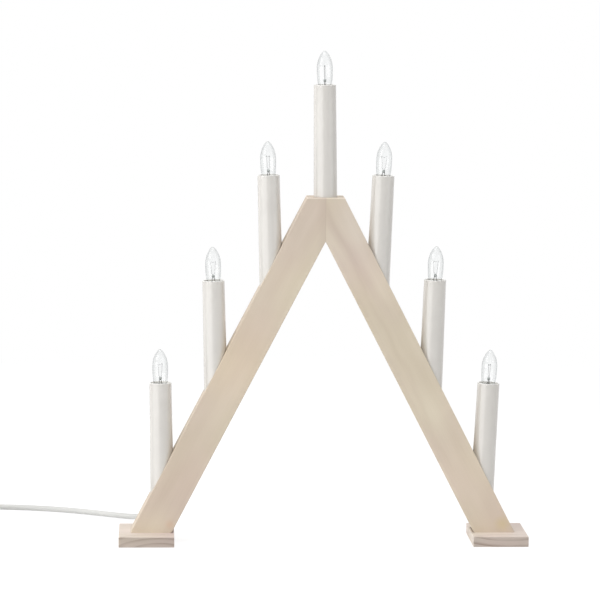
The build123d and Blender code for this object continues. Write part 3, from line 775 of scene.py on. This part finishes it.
# Lamp glass: a clear flame-shaped bulb, blown thin, with a neck that goes down into the holder.
# One lamp is made standing on the Z axis, with the sleeve's rim at height zero, and is then
# copied to each candle.
glass_rings = [
    (0.0040, -0.0082),
    (0.0043, -0.0080),
    (0.0044, -0.0052),
    (0.0051, -0.0026),
    (0.0058, 0.0),
    (0.00625, 0.0035),
    (0.0065, 0.0070),
    (0.00665, 0.0125),
    (0.00652, 0.0160),
    (0.0061, 0.0180),
    (0.0056, 0.0200),
    (0.00485, 0.0220),
    (0.0038, 0.0240),
    (0.00265, 0.0258),
    (0.0015, 0.0270),
    (0.0006, 0.0276),
]
lamp_glass = turned_form("lamp_glass", glass_rings, sides=48)
apply_modifier(lamp_glass, "SUBSURF", levels=1, render_levels=1)
apply_modifier(lamp_glass, "SOLIDIFY", thickness=0.00045, offset=-1.0)
smooth(lamp_glass, 80.0)
clear_glass, glass_shader = new_material(
    "clear_glass", Roughness=0.0, IOR=1.35, Transmission_Weight=1.0
)
# towards its outline the glass is seen through more of its thickness, and its colour is darkened
# there, partly for that depth and partly as painted shade for the grey outline that refraction
# gives clear glass
slant = add_node(clear_glass, "ShaderNodeLayerWeight", Blend=0.3)
glass_outline_shade = add_node(clear_glass, "ShaderNodeValToRGB", Fac=slant.outputs["Facing"])
shades = glass_outline_shade.color_ramp.elements
shades[0].position = 0.08
shades[0].color = (0.952, 0.957, 0.957, 1.0)
shades[1].position = 0.75
shades[1].color = (0.24, 0.25, 0.25, 1.0)
shades.new(0.38).color = (0.80, 0.81, 0.81, 1.0)
clear_glass.node_tree.links.new(glass_outline_shade.outputs["Color"], glass_shader.inputs["Base Color"])
lamp_glass.data.materials.append(clear_glass)


# Lamp cap: thin nickel-plated metal rolled into a round thread under a plain collar, with a
# rolled-in foot. The thread is one profile swept up the axis by a screw.
cap_radius = 0.00475
cap_wall = 0.00015
thread_pitch = 0.00181
thread_depth = 0.0006
thread_foot = -0.0140
thread_turns = 4
profile_steps = 8
bpy.ops.object.select_all(action="DESELECT")
bpy.ops.mesh.primitive_plane_add(size=0.001, location=(0, 0, 0))
cap = bpy.context.object
cap.name = "lamp_cap"
bpy.ops.object.mode_set(mode="EDIT")
bpy.ops.mesh.select_mode(type="VERT")
bpy.ops.mesh.merge(type="CENTER")
bpy.ops.transform.translate(value=(cap_radius - thread_depth, 0, thread_foot))
for step in range(profile_steps):
    here = cos(2 * pi * step / profile_steps)
    there = cos(2 * pi * (step + 1) / profile_steps)
    move = (thread_depth / 2 * (here - there), 0, thread_pitch / profile_steps)
    bpy.ops.mesh.extrude_region_move(TRANSFORM_OT_translate={"value": move})
bpy.ops.object.mode_set(mode="OBJECT")
place_in_mesh(cap)
apply_modifier(
    cap,
    "SCREW",
    axis="Z",
    screw_offset=thread_pitch,
    iterations=thread_turns,
    steps=32,
    render_steps=32,
)
apply_modifier(cap, "WELD", merge_threshold=0.00001)
cap_collar_rings = [
    (0.0041, -0.0070),
    (cap_radius, -0.0067),
    (cap_radius, -0.0053),
    (cap_radius - 0.0002, -0.0052),
]
cap_collar = turned_form("cap_collar", cap_collar_rings, open_foot=True, open_top=True)
cap_foot_rings = [
    (0.0030, -0.01435),
    (0.0037, -0.01435),
    (0.0042, -0.0141),
    (0.0043, -0.0137),
    (0.0041, -0.0125),
]
cap_foot = turned_form("cap_foot", cap_foot_rings, open_foot=True, open_top=True)
join_pieces(cap, cap_collar, cap_foot)
apply_modifier(cap, "SOLIDIFY", thickness=cap_wall, offset=-1.0)
smooth(cap, 50.0)
cap.data.materials.append(nickel_plate)


# Lamp contact: a cone of black glass, melted into the cap's foot as its insulator, with a
# drop of solder in the middle that touches the holder's strip.
black_glass, black_shader = new_material(
    "black_glass", Base_Color=(0.015, 0.014, 0.016, 1.0), Roughness=0.18
)
add_relief(black_glass, black_shader, object_coordinates(black_glass), 600.0, 2.0, 0.00003)
solder = plated_metal("solder", (0.62, 0.62, 0.63), 0.42)
insulator_rings = [(0.0036, -0.0143), (0.0034, -0.0149), (0.0027, -0.0156), (0.0022, -0.0160)]
lamp_contact = turned_form("lamp_contact", insulator_rings)
lamp_contact.data.materials.append(black_glass)
tip_rings = [(0.0015, -0.0158), (0.0015, -0.0163), (0.0012, -0.0167), (0.0006, -0.01695)]
tip = turned_form("solder_tip", tip_rings)
tip.data.materials.append(solder)
join_pieces(lamp_contact, tip)
smooth(lamp_contact, 50.0)


# Filament mount: two dark support wires, crossed through a small glass bead, that carry a
# coiled tungsten filament between their tips.
def wire_along(name, points, thickness, material, kind="NURBS", sides=3):
    """A round wire through a list of points, as a mesh."""
    curve = bpy.data.curves.new(name, "CURVE")
    curve.dimensions = "3D"
    curve.bevel_depth = thickness / 2
    curve.bevel_resolution = sides
    curve.resolution_u = 5
    curve.use_fill_caps = True
    spline = curve.splines.new(kind)
    spline.points.add(len(points) - 1)
    for point, place in zip(spline.points, points):
        point.co = (*place, 1.0)
    if kind == "NURBS":
        spline.order_u = 3
        spline.use_endpoint_u = True
    piece = bpy.data.objects.new(name, curve)
    scene.collection.objects.link(piece)
    use_only(piece)
    bpy.ops.object.convert(target="MESH")
    piece = bpy.context.object
    piece.data.materials.clear()
    piece.data.materials.append(material)
    return piece


dark_wire = plated_metal("dark_wire", (0.13, 0.12, 0.12), 0.45)
tungsten = plated_metal("tungsten", (0.30, 0.30, 0.31), 0.4)
bead_glass, bead_shader = new_material(
    "bead_glass", Base_Color=(0.30, 0.32, 0.31, 1.0), Roughness=0.12
)
add_relief(bead_glass, bead_shader, object_coordinates(bead_glass), 900.0, 1.0, 0.00002)

# the right-hand wire from the cap to the bead, and on from the bead to the filament
lead_points = (
    (0.0019, -0.0076),
    (0.0016, -0.002),
    (0.0011, 0.0010),
    (0.0006, 0.0026),
    (0.0005, 0.0040),
)
support_points = (
    (0.0005, 0.0040),
    (0.0007, 0.0053),
    (0.0016, 0.0060),
    (0.0015, 0.0085),
    (0.0018, 0.0120),
    (0.0022, 0.0156),
)
mount_wires = (("lead", lead_points, 0.0005), ("support", support_points, 0.0002))
mount_parts = []
for side in (-1, 1):
    for name, points, thickness in mount_wires:
        places = [(side * x, 0, z) for x, z in points]
        mount_parts.append(wire_along(f"{name}_{side}", places, thickness, dark_wire))
bead_rings = [
    (0.0005, 0.0021),
    (0.0010, 0.0023),
    (0.00125, 0.0029),
    (0.00125, 0.0037),
    (0.0010, 0.0043),
    (0.0005, 0.0045),
]
bead = turned_form("bead", bead_rings, sides=20)
bead.data.materials.append(bead_glass)
mount_parts.append(bead)

filament_height = 0.0156
filament_span = 0.0045
filament_sag = 0.0008
filament_turns = 12
filament_steps = filament_turns * 10
filament_radius = 0.00022
filament_thickness = 0.00009
coil_points = []
for k in range(filament_steps + 1):
    share = k / filament_steps
    sag = -filament_sag * (1 - (2 * share - 1) ** 2)
    turn = 2 * pi * filament_turns * share
    across = filament_span * (share - 0.5)
    up = filament_height + sag + filament_radius * sin(turn)
    coil_points.append((across, filament_radius * cos(turn), up))
mount_parts.append(
    wire_along("filament_coil", coil_points, filament_thickness, tungsten, kind="POLY", sides=1)
)
join_pieces(*mount_parts)
lamp_mount = mount_parts[0]
lamp_mount.name = "lamp_mount"
smooth(lamp_mount, 60.0)


# Lamps in their holders: each is screwed in along its candle's axis, and turned as it happened
# to end up, in degrees.
lamp_turns = {
    "left_low": 35,
    "left_mid": 20,
    "left_high": 50,
    "top": 80,
    "right_high": 5,
    "right_mid": 15,
    "right_low": 60,
}
cap_middle_to_rim = 0.0098
# each piece of the lamp, the CAD node that it replaces and its material slot
unit_pieces = (
    (lamp_glass, "bulb_glass", "clear_glass"),
    (cap, "bulb_cap", "nickel_plate"),
    (lamp_contact, "bulb_contact", "black_insulator"),
    (lamp_mount, "filament", "dark_wire"),
)
for joint, candle in zip(frame["joints"], candles):
    way = Vector(joint["axis"])
    low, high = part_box(f"bulb_cap_{candle}")
    rim = (Vector(low) + Vector(high)) / 2 + way * cap_middle_to_rim
    lean = Matrix.Rotation(asin(way.x), 4, "Y")
    turn = Matrix.Rotation(radians(lamp_turns[candle]), 4, "Z")
    for unit, node, slot in unit_pieces:
        copy = bpy.data.objects.new(f"{unit.name}_{candle}", unit.data.copy())
        scene.collection.objects.link(copy)
        copy.data.transform(Matrix.Translation(rim) @ lean @ turn)
        # thin clear glass throws next to no shadow
        copy.visible_shadow = unit != lamp_glass
        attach(copy, f"bulb_{candle}")
        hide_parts(f"{node}_{candle}")
for unit, node, slot in unit_pieces:
    bpy.data.objects.remove(unit)


# Studio: a wide white floor that keeps a soft shadow near the arch, a white surround, and soft
# lamps and panels round the left, in front, at the right and above.
def combined(owner, kind, *links):
    """Shaders that a node adds or mixes, as a shader output."""
    node = add_node(owner, kind)
    for socket, link in zip(node.inputs, links):
        fill_socket(owner, socket, link)
    return node.outputs["Shader"]


def seen_share(owner):
    """1 on the camera's rays, mirrored and refracted ones too, and 0 on the light's."""
    path = add_node(owner, "ShaderNodeLightPath").outputs
    in_pieces = calculate(owner, "MAXIMUM", path["Is Glossy Ray"], path["Is Transmission Ray"])
    return calculate(owner, "MAXIMUM", path["Is Camera Ray"], in_pieces)


white_light = (1.0, 1.0, 1.0, 1.0)
floor_height = -0.0002
bpy.ops.object.select_all(action="DESELECT")
bpy.ops.mesh.primitive_plane_add(size=14.0, location=(0, 0, floor_height))
floor = bpy.context.object
floor.name = "studio_floor"
place_in_mesh(floor)
floor_white, floor_shader = new_material(
    "floor_white", Base_Color=(0.86, 0.86, 0.86, 1.0), Roughness=0.9
)
# near the arch the floor keeps a soft shadow, and further off it fades into plain white
near_glow = add_node(floor_white, "ShaderNodeEmission", Color=white_light, Strength=0.86)
near_matt = add_node(floor_white, "ShaderNodeBsdfDiffuse", Color=(0.25, 0.25, 0.25, 1.0))
near_floor = combined(
    floor_white, "ShaderNodeAddShader", near_glow.outputs["Emission"], near_matt.outputs["BSDF"]
)
far_glow = add_node(floor_white, "ShaderNodeEmission", Color=white_light, Strength=1.0)
away = add_node(
    floor_white,
    "ShaderNodeVectorMath",
    {"operation": "LENGTH"},
    Vector=object_coordinates(floor_white),
)
far = add_node(
    floor_white, "ShaderNodeMapRange", Value=away.outputs["Value"], From_Min=0.5, From_Max=1.1
)
floor_seen = combined(
    floor_white,
    "ShaderNodeMixShader",
    far.outputs["Result"],
    near_floor,
    far_glow.outputs["Emission"],
)
floor_surface = combined(
    floor_white,
    "ShaderNodeMixShader",
    seen_share(floor_white),
    floor_shader.outputs["BSDF"],
    floor_seen,
)
floor_output = floor_white.node_tree.nodes["Material Output"]
floor_white.node_tree.links.new(floor_surface, floor_output.inputs["Surface"])
floor.data.materials.append(floor_white)
# the sleeves mirror the left lamp down to their feet, as if the floor ended short of it
floor.visible_glossy = False
floor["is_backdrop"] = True

# the surround is seen white, and lights the arch more softly
world = bpy.data.worlds.new("white_surround")
scene.world = world
world.use_nodes = True
ambient = world.node_tree.nodes["Background"]
ambient.inputs["Color"].default_value = white_light
ambient.inputs["Strength"].default_value = 0.44
backdrop = add_node(world, "ShaderNodeBackground", Color=white_light, Strength=1.0)
surround = combined(
    world,
    "ShaderNodeMixShader",
    seen_share(world),
    ambient.outputs["Background"],
    backdrop.outputs["Background"],
)
world.node_tree.links.new(surround, world.node_tree.nodes["World Output"].inputs["Surface"])


def soft_lamp(name, place, aim, width, height, power):
    """A large flat lamp that points at a spot."""
    lamp_data = bpy.data.lights.new(name, "AREA")
    lamp_data.shape = "RECTANGLE"
    lamp_data.size = width
    lamp_data.size_y = height
    lamp_data.energy = power
    lamp = bpy.data.objects.new(name, lamp_data)
    scene.collection.objects.link(lamp)
    lamp.location = place
    lamp.rotation_euler = (Vector(aim) - Vector(place)).to_track_quat("-Z", "Y").to_euler()


# the left lamps draw the bright bands on the sleeves, the top one lights the feet and slopes,
# and the panels fill in the front and the right
soft_lamp("left_softbox", (-1.54, -1.12, 0.05), (0, 0, 0.05), 2.2, 0.9, 12.0)
soft_lamp("back_softbox", (-2.05, 0.75, 0.05), (0, 0, 0.05), 1.9, 0.9, 2.7)
soft_lamp("upper_softbox", (-1.5, -0.7, 1.20), (0, 0, 0.25), 1.6, 0.9, 9.0)
soft_lamp("front_panel", (0.5, -2.4, 0.9), (0.1, 0, 0.2), 1.0, 1.0, 2.0)
soft_lamp("right_panel", (1.6, -1.0, 0.6), (0, 0, 0.2), 1.2, 1.2, 3.5)
soft_lamp("top_softbox", (-0.3, 0.0, 2.0), (0, 0, 0.1), 1.6, 1.6, 17.0)

low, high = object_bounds()
